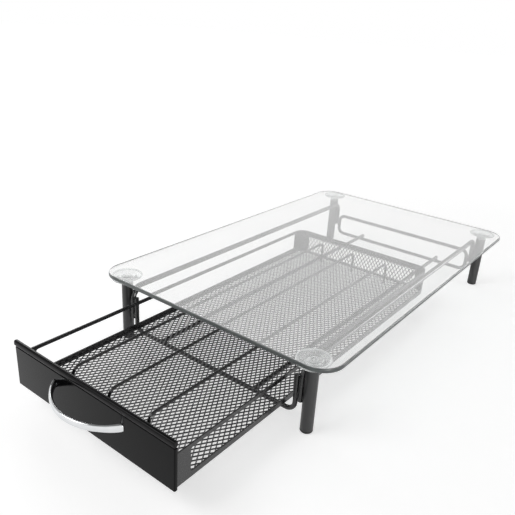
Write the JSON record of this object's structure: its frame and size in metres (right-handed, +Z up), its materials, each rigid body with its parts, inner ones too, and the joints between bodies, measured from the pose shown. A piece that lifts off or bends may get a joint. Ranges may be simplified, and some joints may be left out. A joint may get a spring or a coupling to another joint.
{
  "type": "coffee pod drawer",
  "caption": "Low glass shelf on tube legs over a wire frame, with a pull-out pod tray that has a bow handle, a mesh floor and wire lanes.",
  "frame": {"origin": "on the ground, under the centre of the whole object's box as it stands, from the pulled-out handle to the rear edge of the glass", "axes": "+X to the right as seen from the front, +Y to the rear, so the tray opens towards -Y, +Z up"},
  "size_m": [0.25, 0.531, 0.0675],
  "materials": {
    "clear_glass": "polished, pencil-ground edge",
    "clear_soft_plastic": "clear, smooth",
    "black_plastic": "moulded, satin",
    "satin_black_coating": "satin black powder coat",
    "gloss_black_coating": "semi-gloss black coat",
    "chrome_plated_zinc": "bright chrome plate",
    "zinc_plated_steel": "bright zinc plate"
  },
  "bodies": {
    "frame": {"glass_top": "clear_glass", "leg_front_left": "satin_black_coating", "foot_cap_front_left": "black_plastic", "suction_cup_front_left": "clear_soft_plastic", "leg_front_right": "satin_black_coating", "foot_cap_front_right": "black_plastic", "suction_cup_front_right": "clear_soft_plastic", "leg_rear_left": "satin_black_coating", "foot_cap_rear_left": "black_plastic", "suction_cup_rear_left": "clear_soft_plastic", "leg_rear_right": "satin_black_coating", "foot_cap_rear_right": "black_plastic", "suction_cup_rear_right": "clear_soft_plastic", "side_rail_left": "satin_black_coating", "side_rail_right": "satin_black_coating", "runner_left": "satin_black_coating", "runner_right": "satin_black_coating", "front_cross_wire": "satin_black_coating", "rear_loop_wire": "satin_black_coating"},
    "drawer": {"tray_side_left": "satin_black_coating", "tray_side_right": "satin_black_coating", "tray_rear_wall": "satin_black_coating", "mesh_floor": "satin_black_coating", "rear_mesh": "satin_black_coating", "lane_divider_1": "satin_black_coating", "lane_divider_2": "satin_black_coating", "lane_divider_3": "satin_black_coating", "front_panel": "gloss_black_coating", "bow_handle": "chrome_plated_zinc", "handle_screws": "zinc_plated_steel"}
  },
  "joints": [
    {"name": "drawer_slide", "type": "slide", "parent": "frame", "child": "drawer", "axis": [0, -1, 0], "range_m": [-0.105, 0.065]}
  ]
}
